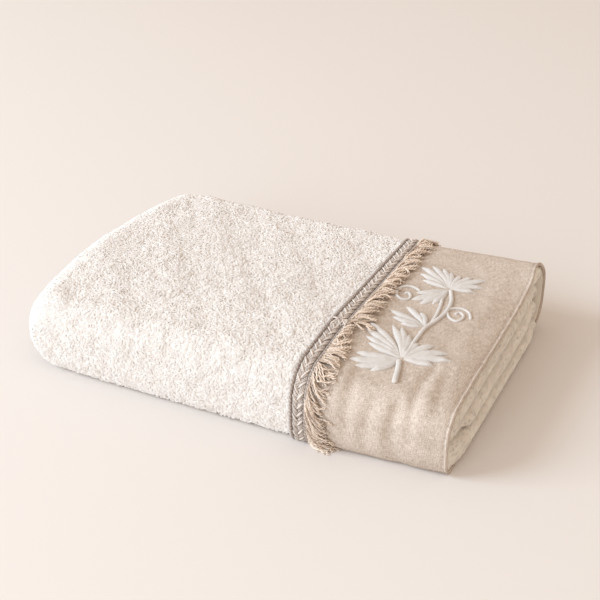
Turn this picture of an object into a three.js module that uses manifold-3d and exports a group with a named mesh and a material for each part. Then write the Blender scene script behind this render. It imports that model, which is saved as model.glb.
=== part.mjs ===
// Bath towel of looped terry cloth with a linen end panel, a braid and a fringe, folded and lying flat.
// The cloth is folded to a quarter of its length and a third of its width, so +X runs along the fold
// towards the linen end, +Y to the back and +Z up. Sizes are in millimetres and the underside is z = 0.
import * as THREE from "three";
import { mergeVertices } from "three/addons/utils/BufferGeometryUtils.js";
import Module from "manifold-3d";

const wasm = await Module();
wasm.setup();

// Places along the folded length
const LEFT_END = -184.6;
const BRAID_START = 64;
const BRAID_END = 76;
const FRINGE_END = 94;
const HEM_EDGE = 181;
const TERRY_SHORT = 4.5;
const PIECE_GAP = 0.35;

// Cloth, counted inwards from the reach of the terry pile
const TERRY_CLOTH = 5.2;
const GROUND_DEPTH = 3.4;
const LINEN_TOP = 1.5;
const LINEN_BACK = 2.9;
const BRAID_TOP = 1.3;
const BRAID_RIDGE = 0.8;
const BRAID_BACK = 3.0;
const FRINGE_BACK = 1.1;
const FRINGE_TOP = -0.2;
const HEM_WIDTH = 4;
const HEM_RISE = 0.8;
// The same on the underside, counted up from the surface that the towel lies on
const FLOOR_CLOTH = 5;
const FLOOR_LINEN = 1.5;
const FLOOR_GROUND = 1.8;

// Outer form at stations along X: the front and back walls, and the height of the top at five places
const CROWN_PLACES = { atFront: -93, nearFront: -50, middle: 0, nearBack: 50, atBack: 98 };
const STATIONS = [
  { x: -184.6, front: -115, back: 117, atFront: 60, nearFront: 63, middle: 64, nearBack: 63, atBack: 61 },
  { x: -120, front: -117, back: 119, atFront: 62, nearFront: 65, middle: 65, nearBack: 64, atBack: 62 },
  { x: -50, front: -118, back: 119, atFront: 63, nearFront: 66, middle: 65, nearBack: 63, atBack: 61 },
  { x: 10, front: -118.5, back: 119, atFront: 64, nearFront: 67, middle: 66, nearBack: 63, atBack: 61 },
  { x: 64, front: -119, back: 119, atFront: 63, nearFront: 66, middle: 64, nearBack: 62, atBack: 60 },
  { x: 110, front: -118, back: 120, atFront: 58, nearFront: 61, middle: 60, nearBack: 61, atBack: 61 },
  { x: 150, front: -115.5, back: 120.5, atFront: 54, nearFront: 56, middle: 56, nearBack: 58, atBack: 63 },
  { x: 181, front: -113, back: 120.7, atFront: 51, nearFront: 53, middle: 54, nearBack: 56, atBack: 64 },
];

// Rounded corners of the section: how far each reaches across, and its share of the height
const CORNERS = {
  frontShoulder: { across: 24, share: 0.42 },
  backShoulder: { across: 15, share: 0.28 },
  frontFoot: { across: 10, share: 0.36 },
  backFoot: { across: 7, share: 0.26 },
};

// The lengthwise fold at the left end, and how the end bows and rounds off in plan
const LEFT_FOLD = { radius: 31, axisHeight: 29 };
const LEFT_PLAN = { bow: 8, bowCentre: -16, frontCorner: 17, backCorner: 7, cornerReach: 32, fadesAt: -60 };

// Gentle lumps of the thick pile: height of each, its pitch along X and Y, and its phase
const LUMPS = [
  { rise: 0.7, alongX: 47, alongY: 61, phase: 0.4 },
  { rise: 0.5, alongX: 29, alongY: 34, phase: 2.1 },
];

// Soft folds in the linen, as ridges that start at the front wall and fade over the top
const LINEN_FOLDS = [
  { x: 98, halfWidth: 7, rise: 1.2, fadesAt: 30, lean: 0.05 },
  { x: 117, halfWidth: 8, rise: 1.6, fadesAt: 70, lean: 0.1 },
  { x: 136, halfWidth: 7, rise: 1.3, fadesAt: 50, lean: 0.12 },
  { x: 155, halfWidth: 9, rise: 1.8, fadesAt: 90, lean: 0.16 },
];

// Inner layers from the lowest up: each one's share of the height inside the wrap, where it stops
// short of the front and back walls, and the middle of the turns that join it to the next layer
const LAYERS = [
  { share: 0.12, front: -97, back: 106, rightTurn: 176.7, leftTurn: -150 },
  { share: 0.14, front: -79, back: 105, rightTurn: 174, leftTurn: -150 },
  { share: 0.14, front: -79, back: 105, rightTurn: 174, leftTurn: -165 },
  { share: 0.16, front: -94, back: 102, rightTurn: 171, leftTurn: -165 },
  { share: 0.16, front: -94, back: 102, rightTurn: 171, leftTurn: -156 },
  { share: 0.14, front: -93, back: 98, rightTurn: 170, leftTurn: -156 },
  { share: 0.14, front: -88, back: 94, rightTurn: 170, leftTurn: -138 },
];
const LAYER_FILL = 0.86;
const STUB_START = 150;

// The braid's section: places across it, how far each stands out and how much of the plait shows there
const BRAID_COLUMNS = [
  { across: 0, rise: 0, plait: 0 },
  { across: 0.06, rise: 0.7, plait: 0 },
  { across: 0.15, rise: 0.1, plait: 0 },
  { across: 0.32, rise: 0.2, plait: 1 },
  { across: 0.5, rise: 0, plait: 0.7 },
  { across: 0.68, rise: 0.2, plait: 1 },
  { across: 0.85, rise: 0.1, plait: 0 },
  { across: 0.94, rise: 0.7, plait: 0 },
  { across: 1, rise: 0, plait: 0 },
];
const BRAID_STEPS = { over: 105, repeats: 35, under: 9 };
const BRAID_CHEVRON = 1.6;

// The fringe
const FRINGE_STRANDS = 130;
const FRINGE_STRIP = 2;
const STRAND = { tipShare: 0.8, tipHeight: 0.9, lean: 0.8, shortBy: 3 };

// Stations of the meshes along X, each list from left to right
const FOLD_ANGLES = [10, 26, 42, 58, 74, 90];
const PILE_STATIONS = [-136, -118, -100, -80, -60, -40, -20, 0, 20, 40, 54, 60];
const GROUND_STATIONS = [90, 110, 130, 150, 165];
const HOLLOW_STATIONS = [-120, -80, -40, 0, 40, 64, 90, 110, 130, 150, 165];
const LINEN_STATIONS = [84, 91, 98, 105, 111, 117, 123, 130, 136, 142, 149, 155, 162, 172];
const HOLLOW_OVERRUN = 12;
// The step from the pile down to the bare ground: place before the braid, and depth
const PILE_EDGE = [
  { before: 1.2, depth: 0.8 },
  { before: 0.4, depth: 2 },
  { before: 0.3, depth: GROUND_DEPTH },
];
// How far the rolled hem's edges are rounded off
const HEM_ROUNDING = 0.8;
const HEM_LIP = 0.2;
// Points nearer than this are one point
const SAME_POINT = 1e-4;

// Steps of the meshes
const RING_STEPS = { under: 8, foot: 3, wall: 2, frontShoulder: 6, backShoulder: 5, top: 11 };
const ACROSS_STEPS = 9;
const TURN_STEPS = 6;
const RUN_STEPS = 5;

// A smooth curve through a table's rows, read at x
function readTable(rows, places, x) {
  const last = places.length - 1;
  const at = Math.min(Math.max(x, places[0]), places[last]);
  const i = Math.min(places.findLastIndex((place) => place <= at), last - 1);
  const slope = (a, b) => (rows[b] - rows[a]) / (places[b] - places[a]);
  const width = places[i + 1] - places[i];
  const start = slope(Math.max(i - 1, 0), i + 1) * width;
  const end = slope(i, Math.min(i + 2, last)) * width;
  const t = (at - places[i]) / width;
  const rise = rows[i + 1] - rows[i];
  return rows[i] + t * start + t * t * (3 * rise - 2 * start - end) + t * t * t * (start + end - 2 * rise);
}

const STATION_PLACES = STATIONS.map((row) => row.x);
const alongLength = (column, x) => readTable(STATIONS.map((row) => row[column]), STATION_PLACES, x);
const { lerp, smoothstep } = THREE.MathUtils;

// Height of the top of the bundle over a point in plan
function crown(x, y) {
  const heights = Object.keys(CROWN_PLACES).map((column) => alongLength(column, x));
  return readTable(heights, Object.values(CROWN_PLACES), y);
}

// The left end bows outwards and its corners are rounded in plan
function planX(x, y) {
  const { bow, bowCentre, frontCorner, backCorner, cornerReach, fadesAt } = LEFT_PLAN;
  const rounding = (past) => 1 - Math.sqrt(1 - Math.min(Math.max(past / cornerReach, 0), 1) ** 2);
  const front = alongLength("front", LEFT_END) + cornerReach;
  const back = alongLength("back", LEFT_END) - cornerReach;
  const drawnIn =
    bow * ((y - bowCentre) / back) ** 2 + frontCorner * rounding(front - y) + backCorner * rounding(y - back);
  return x + drawnIn * (1 - smoothstep(x, LEFT_END, fadesAt));
}

// How much of the full height is left at x, where the cloth turns round the lengthwise fold
function foldShare(x, inset) {
  const { radius } = LEFT_FOLD;
  const short = Math.max(LEFT_END + radius - x, 0) / (radius - inset);
  return Math.sqrt(Math.max(1 - short * short, 0));
}

// The stretches of a ring round the bundle, from the back of the underside forwards, up and over
const RING = [
  ["under", RING_STEPS.under],
  ["frontFoot", RING_STEPS.foot],
  ["frontWall", RING_STEPS.wall],
  ["frontShoulder", RING_STEPS.frontShoulder],
  ["top", RING_STEPS.top],
  ["backShoulder", RING_STEPS.backShoulder],
  ["backWall", RING_STEPS.wall],
  ["backFoot", RING_STEPS.foot],
].flatMap(([stretch, steps]) => Array.from({ length: steps }, (_, i) => ({ stretch, t: i / steps })));

// A point of the section at x, as its Y, its share of the height, and its outward direction
function sectionPoint(x, { stretch, t }, inset) {
  const front = alongLength("front", x) + inset;
  const back = alongLength("back", x) - inset;
  const corner = (name) => ({
    across: CORNERS[name].across - inset / 2,
    share: CORNERS[name].share,
  });
  const quarter = (t * Math.PI) / 2;
  const [s, c] = [Math.sin(quarter), Math.cos(quarter)];
  const [frontFoot, backFoot] = [corner("frontFoot"), corner("backFoot")];
  const [frontShoulder, backShoulder] = [corner("frontShoulder"), corner("backShoulder")];
  switch (stretch) {
    case "under":
      return { y: lerp(back - backFoot.across, front + frontFoot.across, t), height: 0, out: [0, -1] };
    case "frontFoot":
      return {
        y: front + frontFoot.across * (1 - s),
        height: frontFoot.share * (1 - c),
        out: [-s, -c],
      };
    case "frontWall":
      return { y: front, height: lerp(frontFoot.share, 1 - frontShoulder.share, t), out: [-1, 0] };
    case "frontShoulder":
      return {
        y: front + frontShoulder.across * (1 - c),
        height: 1 - frontShoulder.share * (1 - s),
        out: [-c, s],
      };
    case "top":
      return { y: lerp(front + frontShoulder.across, back - backShoulder.across, t), height: 1, out: [0, 1] };
    case "backShoulder":
      return {
        y: back - backShoulder.across * (1 - s),
        height: 1 - backShoulder.share * (1 - c),
        out: [s, c],
      };
    case "backWall":
      return { y: back, height: lerp(1 - backShoulder.share, backFoot.share, t), out: [1, 0] };
    default:
      return {
        y: back - backFoot.across * (1 - c),
        height: backFoot.share * (1 - s),
        out: [c, -s],
      };
  }
}

// How far the pile's lumps stand out at a point of the terry, and the folds at a point of the linen
function lumps(x, y) {
  return LUMPS.reduce(
    (sum, lump) => sum + lump.rise * Math.sin(x / lump.alongX * 2 * Math.PI + lump.phase)
      * Math.cos(y / lump.alongY * 2 * Math.PI + lump.phase),
    0,
  );
}

function linenFolds(x, y) {
  return LINEN_FOLDS.reduce((sum, fold) => {
    const fromFront = Math.max(y - CROWN_PLACES.atFront, 0);
    const off = (x - fold.x - fold.lean * fromFront) / fold.halfWidth;
    const fade = 1 - smoothstep(fromFront, 0, fold.fadesAt);
    return sum + fold.rise * fade * Math.exp(-off * off);
  }, 0);
}

// A point on the bundle: inset is the depth below the pile's reach, floor the height of the
// underside there, and relief a function that gives how far the surface stands out
function bundlePoint(x, place, inset, floor, relief) {
  const { y, height, out } = sectionPoint(x, place, inset);
  const share = foldShare(x, inset);
  const { axisHeight } = LEFT_FOLD;
  const low = lerp(axisHeight, floor, share);
  const high = lerp(axisHeight, crown(x, y) - inset, share);
  const rise = place.stretch === "under" ? 0 : relief(x, y) * Math.max(out[1] + 1, 0) ** 0.5 * share;
  const point = new THREE.Vector3(planX(x, y), y + out[0] * rise, lerp(low, high, height) + out[1] * rise);
  point.z = Math.max(point.z, Math.min(low, floor));
  return point;
}

const flat = () => 0;
const ringAt = (x, inset, floor, relief = flat) =>
  RING.map((place) => bundlePoint(x, place, inset, floor, relief));

// Skins a grid of points: rows follow each other and each row is a closed loop. Faces that leaveOut
// names stay open.
function skin(rows, closedAlong, leaveOut = () => false) {
  const around = rows[0].length;
  const triangles = [];
  const corner = (i, j) => (i % rows.length) * around + (j % around);
  const bands = closedAlong ? rows.length : rows.length - 1;
  for (let i = 0; i < bands; i++) {
    for (let j = 0; j < around; j++) {
      if (leaveOut(i, j)) continue;
      triangles.push(corner(i, j), corner(i + 1, j), corner(i + 1, j + 1));
      triangles.push(corner(i, j), corner(i + 1, j + 1), corner(i, j + 1));
    }
  }
  return triangles;
}

function solidFrom(points, triangles) {
  const geometry = new THREE.BufferGeometry();
  geometry.setAttribute("position", new THREE.Float32BufferAttribute(points.flatMap((p) => p.toArray()), 3));
  geometry.setIndex(triangles);
  const merged = mergeVertices(geometry, SAME_POINT);
  return new wasm.Manifold(
    new wasm.Mesh({
      numProp: 3,
      vertProperties: merged.getAttribute("position").array,
      triVerts: new Uint32Array(merged.index.array),
    }),
  );
}

// A closed body through rings. Each end ring is filled in by the triangles that cap gives for it.
function loft(rings, cap) {
  const points = rings.flat();
  const triangles = skin(rings, false);
  const last = points.length - rings[0].length;
  cap(rings[0], 0).forEach(([a, b, c]) => triangles.push(a, b, c));
  cap(rings.at(-1), last).forEach(([a, b, c]) => triangles.push(c, b, a));
  return solidFrom(points, triangles);
}

// Fills a ring round the bundle with triangles that zip its underside to its top, front to back
function capOfRing(ring, first) {
  const frontEdge = RING.findIndex((place) => place.stretch === "frontWall");
  const backEdge = RING.findIndex((place) => place.stretch === "backWall");
  const under = [];
  for (let j = frontEdge + ring.length; j >= backEdge; j--) {
    under.push(j % ring.length);
  }
  const over = [];
  for (let j = frontEdge; j <= backEdge; j++) {
    over.push(j);
  }
  const triangles = [];
  let [low, high] = [0, 0];
  while (low < under.length - 1 || high < over.length - 1) {
    const goesOver = low === under.length - 1
      || (high < over.length - 1 && ring[over[high + 1]].y < ring[under[low + 1]].y);
    const triangle = goesOver
      ? [over[high], over[high + 1], under[low]]
      : [under[low + 1], under[low], over[high]];
    if (goesOver) {
      high += 1;
    } else {
      low += 1;
    }
    if (new Set(triangle).size === 3) triangles.push(triangle.map((j) => first + j));
  }
  return triangles;
}

// Fills the section of a strip, whose ring runs out along one face and back along the other
function capOfStrip(ring, first) {
  const half = ring.length / 2;
  return Array.from({ length: half - 1 }, (_, j) => {
    const [near, next] = [first + j, first + j + 1];
    const [facing, facingNext] = [first + ring.length - 1 - j, first + ring.length - 2 - j];
    return [[near, next, facingNext], [near, facingNext, facing]];
  }).flat();
}

// Stations round the lengthwise fold at a depth, from its tip to where the full height starts
function foldStations(inset) {
  const { radius } = LEFT_FOLD;
  return FOLD_ANGLES.map(
    (degrees) => LEFT_END + radius - (radius - inset) * Math.cos(THREE.MathUtils.degToRad(degrees)),
  );
}

// The outer wrap of terry: top, underside, front and back in one, closed round the left fold
function terryWrap() {
  const pile = [...foldStations(0), ...PILE_STATIONS].map((x) => ringAt(x, 0, 0, lumps));
  const edge = PILE_EDGE.map(({ before, depth }) => {
    const floor = depth === GROUND_DEPTH ? FLOOR_GROUND : 0;
    return ringAt(BRAID_START - before, depth, floor);
  });
  const ground = [...GROUND_STATIONS, HEM_EDGE - TERRY_SHORT].map((x) => ringAt(x, GROUND_DEPTH, FLOOR_GROUND));
  const hollow = [...foldStations(TERRY_CLOTH), ...HOLLOW_STATIONS, HEM_EDGE + HOLLOW_OVERRUN];
  const hollowRings = hollow.map((x) => ringAt(x, TERRY_CLOTH, FLOOR_CLOTH));
  return loft([...pile, ...edge, ...ground], capOfRing).subtract(loft(hollowRings, capOfRing));
}

// Height inside the wrap, counted in layers up from the inside of its floor
function layerHeight(x, y, count) {
  if (count < 0) return FLOOR_CLOTH + count * (FLOOR_CLOTH - FLOOR_GROUND);
  const whole = Math.min(Math.floor(count), LAYERS.length - 1);
  const below = LAYERS.slice(0, whole).reduce((sum, layer) => sum + layer.share, 0);
  const share = below + (count - whole) * LAYERS[whole].share;
  return lerp(FLOOR_CLOTH, crown(x, y) - TERRY_CLOTH, share);
}

// The inner layers as one strip folded back and forth, which starts in the floor of the wrap
function foldedLayers() {
  const outer = [];
  const inner = [];
  const pitch = (crown(0, 0) - TERRY_CLOTH - FLOOR_CLOTH) / LAYERS.length;
  const half = LAYER_FILL / 2;
  const stopAt = (i) => LAYERS[Math.min(Math.max(i, 0), LAYERS.length - 1)];
  // Each entry is a place in the strip's section: x, height in layers, and which layer's stops it keeps
  const put = (side, x, count, low, high, share) => side.push({ x, count, low, high, share });
  const run = (from, to, count, i, rightwards) => {
    for (let step = 0; step <= RUN_STEPS; step++) {
      const x = lerp(from, to, step / RUN_STEPS);
      put(outer, x, count + (rightwards ? -half : half), i, i, 0);
      put(inner, x, count + (rightwards ? half : -half), i, i, 0);
    }
  };
  const turn = (x, count, i, toRight) => {
    for (let step = 1; step < TURN_STEPS; step++) {
      const angle = (step / TURN_STEPS) * Math.PI;
      const bulge = Math.sin(angle) * (toRight ? 1 : -1) * pitch;
      const rise = -Math.cos(angle);
      const share = step / TURN_STEPS;
      const [wide, narrow] = toRight ? [outer, inner] : [inner, outer];
      put(wide, x + bulge * (0.5 + half), count + rise * (0.5 + half), i - 1, i, share);
      put(narrow, x + bulge * (0.5 - half), count + rise * (0.5 - half), i - 1, i, share);
    }
  };
  run(STUB_START, LAYERS[0].rightTurn, -0.5, 0, true);
  LAYERS.forEach((layer, i) => {
    const leftwards = i % 2 === 0;
    const before = stopAt(i - 1);
    turn(leftwards ? layer.rightTurn : layer.leftTurn, i, i, leftwards);
    const from = leftwards ? layer.rightTurn : before.leftTurn;
    const to = leftwards ? layer.leftTurn : layer.rightTurn;
    run(from, to, i + 0.5, i, !leftwards);
  });
  const strip = [...outer, ...inner.reverse()];
  const rings = Array.from({ length: ACROSS_STEPS + 1 }, (_, step) =>
    strip.map(({ x, count, low, high, share }) => {
      const front = lerp(stopAt(low).front, stopAt(high).front, share);
      const back = lerp(stopAt(low).back, stopAt(high).back, share);
      const y = lerp(front, back, step / ACROSS_STEPS);
      return new THREE.Vector3(planX(x, y), y, layerHeight(x, y, count));
    }),
  );
  return loft(rings, capOfStrip);
}

// The linen panel: a band of plain cloth round the end of the bundle, with a rolled hem at its edge
function linenPanel() {
  const start = BRAID_END + PIECE_GAP;
  const hemStart = HEM_EDGE - HEM_WIDTH;
  const places = [start, ...LINEN_STATIONS, hemStart];
  const face = (x) => ringAt(x, LINEN_TOP, 0, linenFolds);
  const back = (x) => ringAt(x, LINEN_BACK, FLOOR_LINEN, linenFolds);
  const hem = [
    ringAt(hemStart + HEM_ROUNDING, LINEN_TOP - HEM_RISE, 0, linenFolds),
    ringAt(HEM_EDGE - HEM_ROUNDING, LINEN_TOP - HEM_RISE, 0, linenFolds),
    ringAt(HEM_EDGE, LINEN_TOP, FLOOR_LINEN / 3, linenFolds),
    ringAt(HEM_EDGE - HEM_LIP, LINEN_BACK, FLOOR_LINEN, linenFolds),
  ];
  const rings = [...places.map(face), ...hem, ...places.map(back).reverse()];
  return solidFrom(rings.flat(), skin(rings, true));
}

// An open curve round the bundle at x, from the front foot up, over the top and down to the back foot
function overBundle(x, inset, relief = flat) {
  const points = ringAt(x, inset, 0, relief).slice(RING_STEPS.under);
  points.push(ringAt(x, inset, 0, relief)[0]);
  return new THREE.CatmullRomCurve3(points, false, "centripetal");
}

// A point at a share of the way over such a curve, lifted off it by a height
function liftedPoint(curve, share, lift) {
  const point = curve.getPointAt(share);
  const along = curve.getTangentAt(share);
  point.y -= along.z * lift;
  point.z = Math.max(point.z + along.y * lift, 0);
  return point;
}

// The braid: a flat plait with a raised cord along each edge, all the way round the bundle
function braidTrim() {
  const start = BRAID_START + PIECE_GAP;
  const closeUnder = (over) => {
    const [first, last] = [over[0], over.at(-1)];
    const share = (i) => (i + 1) / (BRAID_STEPS.under + 1);
    return [...over, ...Array.from({ length: BRAID_STEPS.under }, (_, i) => last.clone().lerp(first, share(i)))];
  };
  const row = (across, inset, floor, liftAt) => {
    const curve = overBundle(lerp(start, BRAID_END, across), inset);
    const over = Array.from({ length: BRAID_STEPS.over + 1 }, (_, i) => {
      const share = i / BRAID_STEPS.over;
      const point = liftedPoint(curve, share, liftAt(share));
      point.z = Math.max(point.z, floor);
      return point;
    });
    return closeUnder(over);
  };
  const rows = BRAID_COLUMNS.map(({ across, rise, plait }) =>
    row(across, BRAID_TOP, 0, (share) => {
      const turns = share * BRAID_STEPS.repeats + Math.abs(across - 0.5) * BRAID_CHEVRON;
      return rise + plait * BRAID_RIDGE * (0.5 + 0.5 * Math.cos(turns * 2 * Math.PI));
    }),
  );
  rows.push(row(1, BRAID_BACK, FLOOR_LINEN, () => 0), row(0, BRAID_BACK, FLOOR_LINEN, () => 0));
  return solidFrom(rows.flat(), skin(rows, true));
}

// A repeatable number from 0 to 1 for strand i
const scatter = (i, k) => Math.abs((Math.sin(i * 12.9898 + k * 78.233) * 43758.5453) % 1);

// The fringe: separate strands that lie over the linen, each grown out of a face of a narrow strip
// beside the braid. The strip's section has four corners, and every second stretch bears a strand.
function fringe() {
  const stripStart = BRAID_END + PIECE_GAP;
  const stripEnd = stripStart + FRINGE_STRIP;
  const thickness = FRINGE_BACK - FRINGE_TOP;
  const sectionCorners = [
    [stripEnd, 0],
    [stripEnd, thickness],
    [stripStart, thickness],
    [stripStart, 0],
  ].map(([x, lift]) => ({ curve: overBundle(x, FRINGE_BACK), lift }));
  const tipCurve = overBundle(FRINGE_END, FRINGE_BACK, linenFolds);
  const stretches = 2 * FRINGE_STRANDS + 1;
  const rings = Array.from({ length: stretches + 1 }, (_, i) =>
    sectionCorners.map(({ curve, lift }) => liftedPoint(curve, i / stretches, lift)),
  );
  const points = rings.flat();
  const bearsStrand = (i) => i % 2 === 1;
  const triangles = skin(rings, false, (i, j) => j === 0 && bearsStrand(i));
  const last = points.length - 4;
  triangles.push(0, 1, 2, 0, 2, 3);
  triangles.push(last + 2, last + 1, last, last + 3, last + 2, last);
  for (let i = 1; i < stretches; i += 2) {
    // The root is the face between the first two corners of two rings; the tip is a smaller face like it
    const root = [4 * i, 4 * i + 4, 4 * i + 5, 4 * i + 1];
    const lean = ((scatter(i, 1) - 0.5) * STRAND.lean) / stretches;
    const short = scatter(i, 2) * STRAND.shortBy;
    const middle = (i + 0.5) / stretches + lean;
    const half = STRAND.tipShare / 2 / stretches;
    const tip = [
      liftedPoint(tipCurve, middle - half, 0),
      liftedPoint(tipCurve, middle + half, 0),
      liftedPoint(tipCurve, middle + half, STRAND.tipHeight),
      liftedPoint(tipCurve, middle - half, STRAND.tipHeight),
    ];
    const first = points.length;
    points.push(...tip.map((p) => p.setX(p.x - short)));
    for (let side = 0; side < 4; side++) {
      const next = (side + 1) % 4;
      triangles.push(root[side], root[next], first + next);
      triangles.push(root[side], first + next, first + side);
    }
    triangles.push(first, first + 1, first + 2, first, first + 2, first + 3);
  }
  return solidFrom(points, triangles);
}

function geometryOf(solid) {
  const mesh = solid.getMesh();
  const geometry = new THREE.BufferGeometry();
  geometry.setAttribute("position", new THREE.BufferAttribute(new Float32Array(mesh.vertProperties), 3));
  geometry.setIndex(new THREE.BufferAttribute(new Uint32Array(mesh.triVerts), 1));
  geometry.computeVertexNormals();
  return geometry;
}

const MATERIALS = {
  terry: new THREE.MeshStandardMaterial({ color: 0xf3ece3, roughness: 0.95, metalness: 0 }),
  linen: new THREE.MeshStandardMaterial({ color: 0xd2bda5, roughness: 0.85, metalness: 0 }),
  braid: new THREE.MeshStandardMaterial({ color: 0xb4a094, roughness: 0.8, metalness: 0 }),
  fringe: new THREE.MeshStandardMaterial({ color: 0xd6b79c, roughness: 0.75, metalness: 0 }),
};

const towel = new THREE.Group();
function piece(name, solid, material) {
  const mesh = new THREE.Mesh(geometryOf(solid), material);
  mesh.name = name;
  towel.add(mesh);
}

piece("terry_body", terryWrap().add(foldedLayers()), MATERIALS.terry);
piece("linen_panel", linenPanel(), MATERIALS.linen);
piece("braid_trim", braidTrim(), MATERIALS.braid);
piece("fringe", fringe(), MATERIALS.fringe);

export default towel;
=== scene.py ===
"""A folded bath towel: looped terry with a linen end panel, a braid, a fringe and a leaf sprig.

+X runs along the fold towards the linen end, +Y to the back and +Z up, and the underside is z = 0.
Sizes and places are in millimetres, which new_piece turns into Blender's metres.
A way is how far a place on the skin is up from the front foot and on over the top.
"""

import math
from types import SimpleNamespace as Values

import bpy
import numpy as np
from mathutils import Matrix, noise


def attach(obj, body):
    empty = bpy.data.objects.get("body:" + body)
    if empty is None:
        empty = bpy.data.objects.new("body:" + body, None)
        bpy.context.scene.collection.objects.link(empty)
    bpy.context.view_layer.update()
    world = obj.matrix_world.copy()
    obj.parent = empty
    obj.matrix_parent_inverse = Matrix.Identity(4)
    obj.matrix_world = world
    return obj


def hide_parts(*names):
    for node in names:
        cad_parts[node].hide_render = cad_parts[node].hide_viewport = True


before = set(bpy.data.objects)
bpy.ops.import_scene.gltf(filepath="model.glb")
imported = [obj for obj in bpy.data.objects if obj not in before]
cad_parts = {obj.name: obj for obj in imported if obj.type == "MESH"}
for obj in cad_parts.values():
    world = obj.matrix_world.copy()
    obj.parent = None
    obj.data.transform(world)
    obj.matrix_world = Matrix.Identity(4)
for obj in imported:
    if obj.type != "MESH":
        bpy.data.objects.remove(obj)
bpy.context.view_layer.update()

MM = 0.001
BODY = "root"
SEED = 7
draw = np.random.default_rng(SEED)

# The camera, at the photograph's angle, with its focal length in pixels of a square picture
PHOTO_PX = 600
SENSOR_MM = 36
FOCAL_PX = 1291.6
CAMERA_AT = (392.6, -798.1, 562.4)
CAMERA_TURN = 25.24
CAMERA_DOWN = 30.38

# The room: its light from all round, its floor, and two lamps, in metres and watts
ROOM = Values(tint=(1.0, 0.86, 0.74, 1), strength=0.87)
FLOOR_WIDTH = 12
LAMPS = {
    "key": {"place": (-2.3, -1.5, 1.7), "width": 1.8, "watts": 102, "tint": (0.72, 0.86, 1.0)},
    "front": {"place": (-0.5, -3.0, 0.9), "width": 1.8, "watts": 41, "tint": (0.74, 0.86, 0.98)},
}

# Places along the folded length
LEFT_END = -184.6
BRAID_START = 63
BRAID_END = 77.5
FRINGE_REACH = 104
HEM_EDGE = 181
HEM_WIDTH = 2.8

# Cloth, as depths below the reach of the terry pile
PILE_DEPTH = 2.3
TERRY_CLOTH = 5.2
GROUND_DEPTH = 3.4
LINEN_TOP = 1.5
LINEN_BACK = 2.9
HEM_RISE = 0.8
BRAID_TOP = 1.3
# The same on the underside, counted up from the surface that the towel lies on
FLOOR_CLOTH = 5
FLOOR_LINEN = 1.5
FLOOR_GROUND = 1.8
FLOOR_PILE = 0.8
FLOOR_SKIN = 0.1

# Outer form at stations along X: the front and back walls, and the height of the top at five places
STATIONS = {
    "x": (-184.6, -120, -50, 10, 64, 110, 150, 161, 181),
    "front": (-115, -117, -118, -118.5, -119, -118, -115.5, -114.8, -113),
    "back": (117, 119, 119, 119, 119, 120, 121.5, 122.8, 126),
    "at_front": (60, 62, 63, 64, 63, 58, 56, 56.5, 50),
    "near_front": (63, 65, 66, 67, 66, 61, 58.5, 59, 52),
    "middle": (64, 65, 65, 66, 64, 60, 58.5, 59, 52.5),
    "near_back": (63, 64, 63, 63, 62, 61, 60, 61, 55),
    "at_back": (61, 62, 61, 61, 60, 61, 63, 64, 65),
    "back_shoulder_across": (15, 15, 15, 15, 15, 15, 17, 19.5, 25),
    "back_shoulder_share": (0.28, 0.28, 0.28, 0.28, 0.28, 0.28, 0.32, 0.36, 0.44),
    "back_foot_across": (7, 7, 7, 7, 7, 7, 9, 11.5, 17),
    "back_foot_share": (0.26, 0.26, 0.26, 0.26, 0.26, 0.26, 0.32, 0.37, 0.48),
}
CROWN_PLACES = {"at_front": -93, "near_front": -50, "middle": 0, "near_back": 50, "at_back": 98}

# Rounded front corners of the section: how far each reaches across, and its share of the height
FRONT_CORNERS = {"front_shoulder": (24, 0.42), "front_foot": (10, 0.36)}
CORNERS = (*FRONT_CORNERS, "back_shoulder", "back_foot")

# The lengthwise fold at the left end, and how the end bows and rounds off in plan
FOLD_RADIUS = 31
FOLD_AXIS = 29
LEFT_PLAN = Values(bow=8, bow_centre=-16, front=17, back=7, reach=32, fades_at=-60)
RIGHT_PLAN = Values(at=103, half_width=23, by=2.8, starts=150)

# Gentle lumps of the thick pile: height of each, its pitches along X and Y, and its phase
LUMPS = ((0.5, 57, 83, 0.4), (0.2, 31, 38, 2.1))

# Creases of the linen: the ways and places along each, its depth, and half its width. A soft ridge has a
# depth below 0
WALL_WAY = 58
CREASES = (
    ((2, 14, 25, 45, 60), (149, 143, 139, 140, 142), 1.8, 4.5),
    ((20, 40, 58), (120, 122, 124), 1, 4),
    ((30, 55, 78), (106, 107, 104), 1, 4),
    ((40, 52, 66), (153, 152, 151), 1, 4),
    ((66, 78, 92, 108), (151, 151, 150, 152), 1.4, 4),
    ((68, 80, 98, 126), (168, 166, 163, 159), 1.2, 5),
    ((135, 200, 270), (162, 164, 168), 1, 11),
    ((5, 22, 42), (160, 161, 163), -1, 8),
    ((20, 50, 84), (98, 97, 99), -1, 6),
    ((4, 22, 50), (131, 131, 133), -0.8, 5),
    ((4, 18, 40), (113, 114, 115), -0.6, 5),
)
CREASE_FADE = 14
# Small puckers, as two sizes of noise: height and size
PUCKERS = ((0.4, 13), (0.15, 5.5))

# Inner layers from the lowest up: share of the height inside the wrap, where each stops short of the
# front and back walls, and the middle of the turns that join it to the next layer
LAYERS = (
    Values(share=0.12, front=-107, back=107, right=176.7, left=-150),
    Values(share=0.14, front=-103, back=110, right=174, left=-150),
    Values(share=0.14, front=-103, back=111, right=174, left=-165),
    Values(share=0.16, front=-104, back=109, right=171, left=-165),
    Values(share=0.16, front=-102, back=110, right=171, left=-156),
    Values(share=0.14, front=-97, back=111, right=170, left=-156),
    Values(share=0.14, front=-91, back=111, right=170, left=-138),
)
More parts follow.
